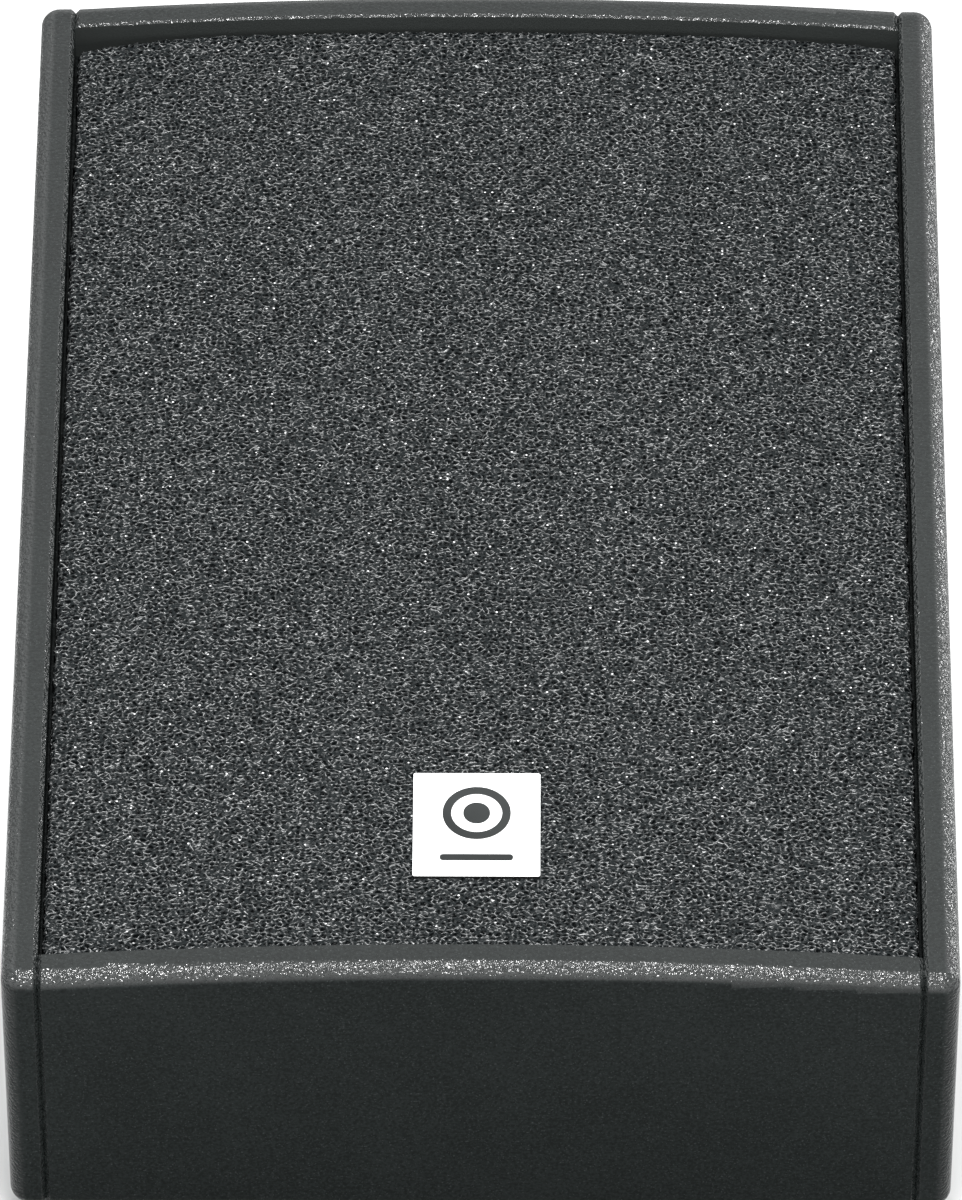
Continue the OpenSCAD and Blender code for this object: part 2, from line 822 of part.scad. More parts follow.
// Bullet held in a ring by three ribs
module hf_phase_plug() {
    outer = 16.9;
    depth = 7;
    color(plastic) at_horn() translate([0, 0, dome_z + bite]) {
        ring(outer, outer - 2, depth);
        cylinder(r = 9, h = depth);
        for (a = [0, 120, 240])
            rotate([0, 0, a]) translate([8, -0.8, 1]) cube([outer - 9.5, 1.6, depth - 2]);
    }
}

// Dome and its coil, which move together behind the pole
module hf_diaphragm() {
    skin = 0.3;
    rise = 6;
    rim_r = 22.1;
    dome_r = (rim_r * rim_r + rise * rise) / (2 * rise);
    color(copper) at_horn() translate([0, 0, dome_z - 1.2]) mirror([0, 0, 1])
        rotate_extrude($fn = 96) intersection() {
            difference() {
                translate([0, rise - dome_r]) circle(dome_r, $fn = big_fn);
                translate([0, rise - dome_r]) circle(dome_r - skin, $fn = big_fn);
            }
            square([rim_r, rise]);
        }
}

module hf_voice_coil() {
    color(copper) at_horn() translate([0, 0, dome_z - 1.2]) ring(22.3, 21.9, 5);
}

module hf_surround() {
    film = 0.5;
    color(bare_wood) at_horn() translate([0, 0, dome_z - film]) ring(30, 22.4, film);
}

module hf_rear_cover() {
    wall = 3;
    height = 20;
    color(plastic) at_horn() translate([0, 0, dome_z - height]) difference() {
        cylinder(r = driver_r, h = height);
        translate([0, 0, wall]) cylinder(r = driver_r - 8, h = height);
    }
}

module hf_terminals() {
    color(copper) at_horn() for (x = [-6, 6])
        translate([x - 2, driver_r, dome_z + 2]) cube([4, 9, 0.8]);
}

module hf_bolts() {
    color(dark_steel) at_horn() round_circle(bolt_circle, 2, 45)
        translate([0, 0, driver_top + throat_t]) {
            cylinder(r = 5.5, h = 4, $fn = 6);
            translate([0, 0, -throat_t - hf_plate]) cylinder(r = bolt_r, h = throat_t + hf_plate);
        }
}

// ---- Ports ----

port_wall = 2.5;
module port_tubes() {
    flange = 8;
    color(plastic) at_horn() for (x = [-port_x, port_x]) translate([x, 0, 0]) difference() {
        union() {
            cylinder(r = port_r + flange, h = 2.5);
            translate([0, 0, -port_len]) cylinder(r = port_r + port_wall, h = port_len);
        }
        translate([0, 0, -port_len - bite]) cylinder(r = port_r, h = port_len + 4 * bite);
    }
}

// ---- Crossover, on the bottom panel ----

board_l = 150;
board_w = 100;
board_t = 1.6;
board_edge = 12;
board_lift = 8;
board_bite = 10;
board_screw_r = 1.5;
board_top = board_lift + board_t;

// Coordinates on the inner face of the bottom panel
module at_crossover() {
    translate([0, under_y + 235, foot_h + ply]) children();
}

module crossover_board() {
    color([0.16, 0.30, 0.17]) at_crossover() translate([0, 0, board_lift]) difference() {
        linear_extrude(board_t) round_rect(board_l, board_w, 4);
        at_corners(board_l - board_edge, board_w - board_edge)
            translate([0, 0, -bite]) cylinder(r = board_screw_r + play, h = board_t + 2 * bite);
    }
}

module crossover_standoffs() {
    color(plastic) at_crossover() at_corners(board_l - board_edge, board_w - board_edge)
        ring(4, board_screw_r + play, board_lift);
}

module crossover_screws() {
    color(steel) at_crossover() at_corners(board_l - board_edge, board_w - board_edge)
        translate([0, 0, board_top]) screw(3, 2, board_screw_r, board_top + board_bite);
}

module crossover_inductors() {
    color(copper) at_crossover() translate([0, 0, board_top]) {
        translate([-42, 16, 0]) ring(24, 9, 22);
        translate([12, 24, 0]) ring(17, 6, 16);
    }
}

module crossover_capacitors() {
    color([0.75, 0.62, 0.20]) at_crossover() for (i = [0 : 2])
        translate([-48 + i * 42, -28, board_top + 11]) rotate([0, 90, 0])
            cylinder(r = 11, h = 34);
}

module crossover_resistors() {
    color(badge_white) at_crossover() for (y = [4, 22])
        translate([36, y, board_top]) cube([30, 9, 9]);
}

// Leads inside the cabinet: input to crossover, crossover to woofer, crossover to driver
module wiring() {
    lead_r = 2.2;
    board = on_slope_from([0, under_y + 235, foot_h + ply + board_top]);
    edge = [0, 8, 12];
    input = [
        [dish_x, 436, -170], [dish_x, 400, -190], [-80, 360, -230],
        board + [-66, 0, 0] + 3 * edge, board + [-66, 0, 0] + edge
    ];
    woofer = [
        [-2, woofer_up + shelf_r + 20, baffle_z + basket_floor + 12],
        [-2, woofer_up + shelf_r + 40, -150], board + [-6, 6, 0] + 3 * edge, board + [-6, 6, 0]
    ];
    driver = [
        [8, horn_up + driver_r + 12, baffle_z + dome_z + 4], [40, horn_up + driver_r + 2, -182],
        [64, horn_up - 20, -190], [80, 360, -210],
        board + [62, 0, 0] + 3 * edge, board + [62, -20, 0] + edge
    ];
    color([0.45, 0.08, 0.07]) on_slope() for (route = [input, woofer, driver]) {
        for (i = [0 : len(route) - 2]) lead(route[i], route[i + 1], lead_r);
        for (p = route) translate(p) sphere(lead_r + 0.3, $fn = 24);
    }
}

module lead(from, to, r) {
    run = to - from;
    translate(from)
        rotate([0, acos(run.z / norm(run)), atan2(run.y, run.x)])
            cylinder(r = r, h = norm(run), $fn = 24);
}

// ---- Back: connector dish and handle ----

cup_wall = 3;
back_screw_r = 1.9;
back_screw_bite = 12;
dish_corner = 8;
flange = 12;
flange_r = 5;
dish_screw_w = dish_w + 2 * (flange - flange_r);
dish_screw_h = dish_h + 2 * (flange - flange_r);
handle_corner = 12;
handle_screw_w = handle_w + 2 * (flange - flange_r);
handle_screw_h = handle_h + 2 * (flange - flange_r);
back_head_r = 3.8;
back_head_t = 2;

module at_dish() {
    translate([-dish_x, dish_up, 0]) children();
}

module at_handle() {
    translate([0, handle_up, 0]) children();
}

// A flanged tub whose opening is w by h
module recess_cup(w, h, r, depth, screw_w, screw_h) {
    difference() {
        union() {
            linear_extrude(back_t) round_rect(w + 2 * flange, h + 2 * flange, flange_r);
            translate([0, 0, -depth])
                linear_extrude(depth) round_rect(w + 2 * cup_wall, h + 2 * cup_wall, r + cup_wall);
        }
        translate([0, 0, cup_wall - depth])
            linear_extrude(depth + back_t) round_rect(w, h, r);
        at_corners(screw_w, screw_h) {
            translate([0, 0, -bite]) cylinder(r = back_screw_r + play, h = back_t + 2 * bite);
            translate([0, 0, back_t - back_head_t - play / 2]) cylinder(r = back_head_r + play, h = back_t);
        }
    }
}

socket_r = 12;
socket_floor = cup_wall - dish_depth;
socket_bore_r = 10.5;
module at_sockets() {
    on_rear() at_dish() for (x = [-socket_gap / 2, socket_gap / 2])
        translate([x, 0, socket_floor]) children();
}

module connector_dish() {
    color(plastic) difference() {
        on_rear() at_dish()
            recess_cup(dish_w, dish_h, dish_corner, dish_depth, dish_screw_w, dish_screw_h);
        at_sockets() {
            translate([0, 0, -2 * cup_wall]) cylinder(r = socket_r + play, h = 3 * cup_wall);
            at_corners(socket_screw_gap, socket_screw_gap) translate([0, 0, -2 * cup_wall])
                cylinder(r = socket_screw_r + play, h = 3 * cup_wall);
        }
    }
}

// Four-pole twist-lock speaker socket: flange, barrel and centre post
socket_screw_gap = 24;
socket_screw_r = 1.4;
socket_flange_t = 2.5;
socket_depth = 22;
module speaker_sockets() {
    keyway = 3;
    color([0.05, 0.05, 0.06]) at_sockets() {
        difference() {
            union() {
                linear_extrude(socket_flange_t) round_rect(31, 31, 3);
                translate([0, 0, -socket_depth]) cylinder(r = socket_r, h = socket_depth);
            }
            translate([0, 0, 2 - socket_depth]) cylinder(r = socket_bore_r, h = socket_depth + 2 * bite);
            for (a = [0, 90])
                rotate([0, 0, a]) translate([-keyway / 2, -socket_bore_r - 1, -8])
                    cube([keyway, 2 * socket_bore_r + 2, 12]);
            at_corners(socket_screw_gap, socket_screw_gap)
                translate([0, 0, -bite]) cylinder(r = socket_screw_r + play, h = 2 * socket_flange_t);
        }
        translate([0, 0, 1.5 - socket_depth]) cylinder(r = 3.2, h = socket_depth - 4);
    }
}

// Four contact springs and solder tabs in each socket
module socket_contacts() {
    color(steel) at_sockets() for (a = [45 : 90 : 315])
        rotate([0, 0, a]) translate([9.4, -1.5, 2 - socket_depth]) {
            cube([0.8, 3, 12]);
            translate([0, 0, -2 - 8]) cube([0.8, 3, 8]);
        }
}

module socket_screws() {
    color(dark_steel) at_sockets() at_corners(socket_screw_gap, socket_screw_gap)
        translate([0, 0, socket_flange_t]) screw(2.4, 1.4, socket_screw_r, socket_flange_t + cup_wall);
}

module dish_screws() {
    color(dark_steel) on_rear() at_dish() at_corners(dish_screw_w, dish_screw_h)
        back_screw();
}

// Screw whose flat head ends flush with the flange
module back_screw() {
    translate([0, 0, back_t - back_head_t]) screw(back_head_r, back_head_t, back_screw_r, back_screw_bite);
}

pin_r = 4;
bar_r = 8;
bar_z = -grip_r - 1;
module handle_cup() {
    color(plastic) on_rear() at_handle() difference() {
        recess_cup(handle_w, handle_h, handle_corner, handle_depth, handle_screw_w, handle_screw_h);
        translate([0, 0, bar_z]) rotate([0, 90, 0])
            cylinder(r = pin_r + play, h = handle_w + 4 * cup_wall, center = true);
    }
}

module handle_bar() {
    color(dark_steel) on_rear() at_handle() translate([0, 0, bar_z]) rotate([0, 90, 0]) {
        cylinder(r = bar_r, h = handle_w - 2 * play, center = true);
        cylinder(r = pin_r, h = handle_w + 2 * cup_wall, center = true);
    }
}

module handle_grip() {
    length = 130;
    color(rubber) on_rear() at_handle() translate([-length / 2, 0, bar_z]) rotate([0, 90, 0])
        ring(grip_r, bar_r + play / 2, length);
}

module handle_screws() {
    color(dark_steel) on_rear() at_handle() at_corners(handle_screw_w, handle_screw_h)
        back_screw();
}

// ---- Damping and feet ----

module damping_pads() {
    wad = 10;
    color([0.80, 0.80, 0.77]) on_slope() for (side = [0, 1])
        mirror([side, 0, 0]) translate([(panel_w - wad) / 2, 0, 0]) across(wad)
            polygon([[30, -80], [340, -80], [340, -340], [30, -132]]);
}

feet_screw_r = 2.4;
feet_screw_bite = 11;
foot_pocket = 5;
module at_feet() {
    x = cabinet_w / 2 - foot_inset;
    for (side = [-x, x], y = [under_y + 62, rear_y - 52]) translate([side, y, 0]) children();
}

module rubber_feet() {
    chamfer = 2;
    color(rubber) at_feet() difference() {
        rotate_extrude() polygon([
            [0, 0], [foot_r - chamfer, 0], [foot_r, chamfer], [foot_r, foot_h], [0, foot_h]
        ]);
        translate([0, 0, -bite]) cylinder(r = 6, h = foot_pocket + bite);
        cylinder(r = feet_screw_r + play, h = foot_h + bite);
    }
}

module feet_screws() {
    color(steel) at_feet() translate([0, 0, foot_pocket]) mirror([0, 0, 1])
        screw(5, 2.5, feet_screw_r, foot_h - foot_pocket + feet_screw_bite);
}

cheek_left();
cheek_right();
front_panel();
top_panel();
bottom_panel();
rear_panel();
baffle();
brace();
baffle_cleats();
grille_battens();
grille_steel();
grille_foam();
grille_screws();
badge_plate();
badge_emblem();
woofer_basket();
woofer_gasket();
woofer_surround();
woofer_cone();
woofer_dust_cap();
woofer_coil_former();
woofer_voice_coil();
woofer_spider();
woofer_top_plate();
woofer_magnet();
woofer_yoke();
woofer_terminals();
woofer_screws();
horn();
horn_screws();
hf_yoke();
hf_magnet();
hf_top_plate();
hf_phase_plug();
hf_diaphragm();
hf_voice_coil();
hf_surround();
hf_rear_cover();
hf_terminals();
hf_bolts();
port_tubes();
crossover_board();
crossover_inductors();
crossover_capacitors();
crossover_resistors();
crossover_standoffs();
crossover_screws();
wiring();
connector_dish();
speaker_sockets();
socket_contacts();
socket_screws();
dish_screws();
handle_cup();
handle_bar();
handle_grip();
handle_screws();
damping_pads();
rubber_feet();
feet_screws();
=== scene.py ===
"""Stage monitor wedge: foam front, finishes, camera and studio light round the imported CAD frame."""

import json
import math

import bmesh
import bpy
from mathutils import Matrix, Vector, noise


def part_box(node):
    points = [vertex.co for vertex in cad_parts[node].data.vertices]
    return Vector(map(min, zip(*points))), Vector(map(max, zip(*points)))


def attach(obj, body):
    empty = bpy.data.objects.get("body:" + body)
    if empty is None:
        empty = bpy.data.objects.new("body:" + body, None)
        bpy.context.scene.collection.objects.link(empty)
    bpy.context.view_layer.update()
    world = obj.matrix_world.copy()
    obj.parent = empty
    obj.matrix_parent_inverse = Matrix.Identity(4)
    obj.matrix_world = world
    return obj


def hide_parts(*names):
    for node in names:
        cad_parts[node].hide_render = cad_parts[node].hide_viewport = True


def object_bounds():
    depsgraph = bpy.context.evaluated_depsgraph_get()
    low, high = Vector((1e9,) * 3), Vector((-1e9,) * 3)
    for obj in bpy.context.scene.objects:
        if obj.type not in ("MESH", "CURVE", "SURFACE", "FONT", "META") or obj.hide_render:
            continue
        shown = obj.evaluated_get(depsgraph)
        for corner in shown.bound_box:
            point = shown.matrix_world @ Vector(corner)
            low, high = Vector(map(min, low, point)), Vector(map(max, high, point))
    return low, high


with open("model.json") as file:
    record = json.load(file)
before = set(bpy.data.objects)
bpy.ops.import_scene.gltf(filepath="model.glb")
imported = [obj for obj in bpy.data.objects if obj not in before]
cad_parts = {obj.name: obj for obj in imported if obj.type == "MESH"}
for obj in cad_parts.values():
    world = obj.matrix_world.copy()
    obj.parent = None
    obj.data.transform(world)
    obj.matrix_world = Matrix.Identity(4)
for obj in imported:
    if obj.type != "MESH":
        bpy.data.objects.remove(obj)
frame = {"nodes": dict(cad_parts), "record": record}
cad_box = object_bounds()

# ---- The cabinet's own dimensions, in metres and radians ----

SLOPE = math.radians(35)
LIP_DEPTH = 0.143
EDGE_R = 0.008
PLY = 0.015
BOW = 0.0074
FOAM_DROP = 0.0075
FOAM_T = 0.010

# The slope's near corner and length and the gap between the cheeks, from a cheek's packed box
cheek_low, cheek_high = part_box("cheek_left")
near_y = cheek_low.y - EDGE_R * (math.cos(SLOPE) + math.sin(SLOPE) - 1)
near_z = cheek_low.z + LIP_DEPTH * math.cos(SLOPE)
front_len = (cheek_high.y - near_y - LIP_DEPTH * math.sin(SLOPE)) / math.cos(SLOPE)
panel_w = -2 * cheek_high.x

# How far up the slope the far recess wall's painted bounce light starts, just short of that
# wall, measured along the turned world axes
BOUNCE_MARGIN = 0.002
far_wall = near_y * math.cos(SLOPE) + near_z * math.sin(SLOPE) + front_len - PLY
BOUNCE_FROM = far_wall - BOUNCE_MARGIN
BOUNCE_BLEND = 0.001

# Slope frame: x to the right, y up the slope, z out of the slope, origin in the near corner
slope_frame = Matrix.Translation((0, near_y, near_z)) @ Matrix.Rotation(SLOPE, 4, "X")


def bow_at(x):
    """Height of the arched panel edges above their ends, at a distance x from the middle."""
    radius = ((panel_w / 2) ** 2 + BOW**2) / (2 * BOW)
    return math.sqrt(radius**2 - x**2) - (radius - BOW)


# ---- Camera ----

# Its place in the slope frame, its turns from looking straight down on the slope, and the
# sensor's width and the focal length in millimetres
CAMERA_PLACE = Vector((0.016, -3.017, 3.563))
CAMERA_TILT = math.radians(42.16)
CAMERA_YAW = math.radians(0.2)
CAMERA_ROLL = math.radians(0.2)
SENSOR = 36.0
LENS = 345.4


def make_camera():
    """A long lens in front of the cabinet, looking down on its slope."""
    data = bpy.data.cameras.new("camera")
    data.sensor_width = SENSOR
    data.lens = LENS
    data.clip_end = 200
    camera = bpy.data.objects.new("camera", data)
    bpy.context.scene.collection.objects.link(camera)
    turn = (
        Matrix.Rotation(CAMERA_TILT, 4, "X")
        @ Matrix.Rotation(CAMERA_YAW, 4, "Y")
        @ Matrix.Rotation(CAMERA_ROLL, 4, "Z")
    )
    camera.matrix_world = slope_frame @ Matrix.Translation(CAMERA_PLACE) @ turn
    bpy.context.scene.camera = camera


# ---- Light and floor ----

SKY_TOP = 1.5
SKY_SIDE = 0.28
SKY_TINT = (0.985, 1.0, 1.0, 1)
FLOOR_SIZE = 60.0


def make_world():
    """A soft overhead dome: bright above, dimmer towards the horizon."""
    world = bpy.data.worlds.new("studio")
    bpy.context.scene.world = world
    world.use_nodes = True
    tree = world.node_tree
    place = tree.nodes.new("ShaderNodeTexCoord")
    split = tree.nodes.new("ShaderNodeSeparateXYZ")
    rise = tree.nodes.new("ShaderNodeMapRange")
    rise.inputs["From Min"].default_value = 0.0
    rise.inputs["From Max"].default_value = 1.0
    rise.inputs["To Min"].default_value = SKY_SIDE
    rise.inputs["To Max"].default_value = SKY_TOP
    tree.links.new(place.outputs["Generated"], split.inputs[0])
    tree.links.new(split.outputs["Z"], rise.inputs["Value"])
    background = tree.nodes["Background"]
    background.inputs["Color"].default_value = SKY_TINT
    tree.links.new(rise.outputs["Result"], background.inputs["Strength"])


def make_softbox(name, elevation, azimuth, distance, width, height, power, mirrored=True):
    """A rectangular area light aimed at the cabinet's middle, of power watts.

    Azimuth 0 is the front and 90 the right side, in degrees, and the sizes are in metres.
    A light that isn't mirrored gives no reflection of itself."""
    data = bpy.data.lights.new(name, "AREA")
    data.shape = "RECTANGLE"
    data.size = width
    data.size_y = height
    data.energy = power
    light = bpy.data.objects.new(name, data)
    bpy.context.scene.collection.objects.link(light)
    e, a = math.radians(elevation), math.radians(azimuth)
    back = Vector((math.sin(a) * math.cos(e), -math.cos(a) * math.cos(e), math.sin(e)))
    centre = (cad_box[0] + cad_box[1]) / 2
    light.location = centre + back * distance
    light.rotation_euler = back.to_track_quat("Z", "Y").to_euler()
    light.visible_glossy = mirrored


def make_floor(material):
    """The wide floor plane, which is stage and not part of the object."""
    mesh = bpy.data.meshes.new("floor")
    half = FLOOR_SIZE / 2
    corners = [(-half, -half, 0), (half, -half, 0), (half, half, 0), (-half, half, 0)]
    mesh.from_pydata(corners, [], [(0, 1, 2, 3)])
    mesh.materials.append(material)
    floor = bpy.data.objects.new("floor", mesh)
    bpy.context.scene.collection.objects.link(floor)


# ---- Material nodes ----


class Finish:
    """A procedural material round one Principled shader, in the object's own coordinates."""

    def __init__(self, name, rough=0.5, metal=0.0, gloss=0.5, coat=0.0, sheen=0.0):
        self.material = bpy.data.materials.new(name)
        self.material.use_nodes = True
        self.tree = self.material.node_tree
        self.shader = self.tree.nodes["Principled BSDF"]
        self.shader.inputs["Roughness"].default_value = rough
        self.shader.inputs["Metallic"].default_value = metal
        self.shader.inputs["Specular IOR Level"].default_value = gloss
        self.shader.inputs["Coat Weight"].default_value = coat
        self.shader.inputs["Sheen Weight"].default_value = sheen
        coordinates = self.tree.nodes.new("ShaderNodeTexCoord")
        self.place = coordinates.outputs["Object"]
        self.facing = coordinates.outputs["Normal"]

    def link(self, source, target):
        """Sets a socket to a plain value, or joins it to another node's output."""
        if isinstance(source, (int, float)):
            target.default_value = source
        elif isinstance(source, tuple):
            target.default_value = (*source, 1) if len(target.default_value) == 4 else source
        else:
            self.tree.links.new(source, target)

    def along(self, turn=(0, 0, 0), scale=(1, 1, 1), shift=(0, 0, 0), vector=None):
        """The object's coordinates turned, scaled and shifted."""
        node = self.tree.nodes.new("ShaderNodeMapping")
        self.link(vector or self.place, node.inputs["Vector"])
        node.inputs["Rotation"].default_value = turn
        node.inputs["Scale"].default_value = scale
        node.inputs["Location"].default_value = shift
        return node.outputs["Vector"]

    def parts(self, vector):
        """The three components of a vector."""
        node = self.tree.nodes.new("ShaderNodeSeparateXYZ")
        self.link(vector, node.inputs[0])
        return node.outputs

    def cloud(self, size, detail=2.0, rough=0.5, vector=None, distortion=0.0):
        """Noise whose features are about size metres across."""
        node = self.tree.nodes.new("ShaderNodeTexNoise")
        self.link(vector or self.place, node.inputs["Vector"])
        node.inputs["Scale"].default_value = 1 / size
        node.inputs["Detail"].default_value = detail
        node.inputs["Roughness"].default_value = rough
        node.inputs["Distortion"].default_value = distortion
        return node

    def cells(self, size, feature, vector):
        """Voronoi cells about size metres across."""
        node = self.tree.nodes.new("ShaderNodeTexVoronoi")
        node.feature = feature
        self.link(vector, node.inputs["Vector"])
        node.inputs["Scale"].default_value = 1 / size
        return node

    def math(self, operation, a, b=0.0, c=0.0):
        """One arithmetic step on up to three values."""
        node = self.tree.nodes.new("ShaderNodeMath")
        node.operation = operation
        for value, socket in zip((a, b, c), node.inputs):
            self.link(value, socket)
        return node.outputs[0]

    def step(self, value, low, high, to_low=0.0, to_high=1.0):
        """A smooth step of value from low to high."""
        node = self.tree.nodes.new("ShaderNodeMapRange")
        node.interpolation_type = "SMOOTHSTEP"
        for x, socket in zip((value, low, high, to_low, to_high), node.inputs):
            self.link(x, socket)
        return node.outputs["Result"]

    def blend(self, share, a, b):
        """Colour a where share is 0, colour b where it is 1."""
        node = self.tree.nodes.new("ShaderNodeMix")
        node.data_type = "RGBA"
        self.link(share, node.inputs[0])
        self.link(a, node.inputs[6])
        self.link(b, node.inputs[7])
        return node.outputs[2]

    def relief(self, height, depth, strength=1.0):
        """Bump of about depth metres between height 0 and 1."""
        node = self.tree.nodes.new("ShaderNodeBump")
        self.link(strength, node.inputs["Strength"])
        node.inputs["Distance"].default_value = depth
        self.link(height, node.inputs["Height"])
        return node.outputs["Normal"]

    def done(self, colour, rough=None, normal=None):
        """Joins the colour, and the roughness and relief where given, and gives the material."""
        self.link(colour, self.shader.inputs["Base Color"])
        if rough is not None:
            self.link(rough, self.shader.inputs["Roughness"])
        if normal is not None:
            self.link(normal, self.shader.inputs["Normal"])
        return self.material


# ---- Finishes ----

# Structure paint: the colours of its flecks and of the recess wall's painted bounce light, the
# sizes of its grain, swells, patches and flecks, and the depth of its relief, in metres
FLECK = (0.032, 0.036, 0.036)
RECESS_PAINTED_LIGHT = (0.028, 0.031, 0.030)
GRAIN_SIZE = 0.00128
SWELL_SIZE = 0.006
PATCH_SIZE = 0.05
FLECK_SIZE = 0.0007
GRAIN_DEPTH = 0.00106

# Its gloss where it faces down and forwards, and the share of the full gloss and relief that
# side and rear faces have
DULL = 0.06
BEHIND = 0.3

# A face's largest normal component on a rounded edge and on a flat, and the factors there
ROUNDED, FLAT = 0.93, 0.998
ROUNDED_GLOSS, FLAT_GLOSS = 1.35, 0.61
FLAT_RELIEF = 0.36


def structure_paint(name, colour, light_colour, shine):
    """Black structure paint: orange-peel grains, deeper and glossier on rounded edges, and dull
    where the cabinet faces down and forwards."""
    f = Finish(name)
    grain = f.cloud(GRAIN_SIZE, detail=1, rough=0.4).outputs["Fac"]
    swell = f.cloud(SWELL_SIZE, detail=1).outputs["Fac"]
    patches = f.cloud(PATCH_SIZE, detail=4, rough=0.6).outputs["Fac"]
    flecks = f.step(f.cloud(FLECK_SIZE, detail=0).outputs["Fac"], 0.66, 0.86)
    across, along, out = f.parts(f.along(turn=(-SLOPE, 0, 0), vector=f.facing))

    # How flat the face is, and how much it faces out of the slope, sideways or backwards
    flatness = 0.0
    for part in (across, along, out):
        flatness = f.math("MAXIMUM", flatness, f.math("ABSOLUTE", part))
    sideways = f.step(f.math("ABSOLUTE", across), 0.97, 0.999)
    behind = f.math("MULTIPLY", f.math("MAXIMUM", sideways, f.step(along, 0.2, 0.5)), BEHIND)

    height = f.math("MULTIPLY_ADD", swell, 0.25, grain)
    deep = f.math("MULTIPLY_ADD", f.math("MAXIMUM", f.step(out, -0.2, 0.5), behind), 0.8, 0.2)
    deep = f.math("MULTIPLY", deep, f.step(flatness, ROUNDED, FLAT, 1.0, FLAT_RELIEF))
    normal = f.relief(height, GRAIN_DEPTH, deep)

    lit = f.math("MAXIMUM", f.step(out, 0.08, 0.68), behind)
    gloss = f.math("MULTIPLY_ADD", lit, shine - DULL, DULL)
    edge_gloss = f.step(flatness, ROUNDED, FLAT, ROUNDED_GLOSS, FLAT_GLOSS)
    gloss = f.math("MULTIPLY", gloss, edge_gloss)
    f.link(gloss, f.shader.inputs["Specular IOR Level"])
    rough = f.step(patches, 0.3, 0.7, 0.25, 0.20)

    # The recess's far wall, painted paler as bounce light off the foam
    up_slope = f.parts(f.along(turn=(-SLOPE, 0, 0)))[1]
    painted_bounce = f.step(up_slope, BOUNCE_FROM, BOUNCE_FROM + BOUNCE_BLEND)
    painted_bounce = f.math("MULTIPLY", painted_bounce, f.step(along, -0.98, -0.9, 1.0, 0.0))
    tone = f.step(f.math("MULTIPLY_ADD", patches, 0.4, grain), 0.45, 0.95)
    shade = f.blend(painted_bounce, f.blend(tone, colour, light_colour), RECESS_PAINTED_LIGHT)
    return f.done(f.blend(flecks, shade, FLECK), rough, normal)


def bare_ply(name):
    """Birch ply: straight grain with darker glue lines."""
    f = Finish(name, rough=0.62)
    grain = f.cloud(0.02, detail=6, rough=0.7, vector=f.along(scale=(0.12, 1, 1))).outputs["Fac"]
    sheets = f.math("SINE", f.math("MULTIPLY", grain, 40.0))
    colour = f.blend(f.step(sheets, -1, 1), (0.42, 0.29, 0.16), (0.60, 0.46, 0.29))
    return f.done(colour, normal=f.relief(grain, 0.0002))


# Each depth of the foam: cell size in metres, brightness of its painted highlights (dimmer in
# the deeper ones, as painted shade), and a shift that sets it apart
FOAM_DEPTHS = ((0.0021, 1.0, 0.0), (0.0018, 0.22, 0.31), (0.0015, 0.09, 0.77))

# How far the strands bend and over what length, how far up the slope to look for a strand's
# side that gets a painted highlight, and the spacing of the painted glints
STRAND_BEND = 0.0016
BEND_SIZE = 0.003
LIT_STEP = 0.0002
PAINTED_GLINT_SPACING = 0.0024
# Colours of the strands' painted highlight, of the painted glints, and of the pores' painted shade at
# their edges and deeper in
STRAND_HIGHLIGHT = (0.99, 1.0, 1.0)
PAINTED_GLINT = (0.85, 0.85, 0.85)
PORE_EDGE_SHADE = (0.0120, 0.0142, 0.0149)
DEEP_PORE_SHADE = (0.0010, 0.0014, 0.0016)


def open_foam(name):
    """Reticulated foam: strands with painted highlights, pores in painted shade, three depths,
    painted glints.
    """
    f = Finish(name, rough=0.4, gloss=0.01)
    flat = f.along(turn=(-SLOPE, 0, 0), scale=(0.8, 1, 1))
    bent = f.tree.nodes.new("ShaderNodeVectorMath")
    bent.operation = "MULTIPLY_ADD"
    f.link(f.cloud(BEND_SIZE, detail=2, vector=flat).outputs["Color"], bent.inputs[0])
    bent.inputs[1].default_value = (STRAND_BEND, STRAND_BEND, STRAND_BEND)
    f.link(flat, bent.inputs[2])
    painted_highlight, height, depth = 0.0, 0.0, None
    for size, bright, shift in FOAM_DEPTHS:
        here = f.along(vector=bent.outputs[0], shift=(shift, shift, shift))
        above = f.along(vector=bent.outputs[0], shift=(shift, shift - LIT_STEP, shift))
        wall = f.cells(size, "DISTANCE_TO_EDGE", vector=here).outputs["Distance"]
        wall_above = f.cells(size, "DISTANCE_TO_EDGE", vector=above).outputs["Distance"]
        # A strand's side facing up the slope gets the painted highlight; deeper depths get less, as
        # painted shade
        lit = f.step(f.math("SUBTRACT", wall, wall_above), 0.0, 0.07, 0.1, 1.0)
        present = f.step(f.cloud(size * 0.55, detail=0, vector=here).outputs["Fac"], 0.40, 0.64)
        strand = f.math("MULTIPLY", f.step(wall, 0.02, 0.17, 1.0, 0.0), present)
        depth = depth or f.step(wall, 0.10, 0.30)
        layer_highlight = f.math("MULTIPLY", f.math("MULTIPLY", strand, lit), bright)
        painted_highlight = f.math("MAXIMUM", painted_highlight, layer_highlight)
        height = f.math("MAXIMUM", height, f.math("MULTIPLY", strand, bright))
    # Painted glints: a few bright dots standing in for reflections off the strands
    dots = f.cells(PAINTED_GLINT_SPACING, "F1", vector=flat)
    spot = f.step(dots.outputs["Distance"], 0.09, 0.2, 1.0, 0.0)
    chance = f.parts(dots.outputs["Color"])[0]
    painted_glint = f.math("MULTIPLY", spot, f.step(chance, 0.88, 0.93))
    # Painted shade: the pores darker towards their middles
    pore_shade = f.blend(depth, PORE_EDGE_SHADE, DEEP_PORE_SHADE)
    colour = f.blend(f.math("POWER", painted_highlight, 1.35), pore_shade, STRAND_HIGHLIGHT)
    colour = f.blend(painted_glint, colour, PAINTED_GLINT)
    return f.done(colour, normal=f.relief(height, 0.0003))


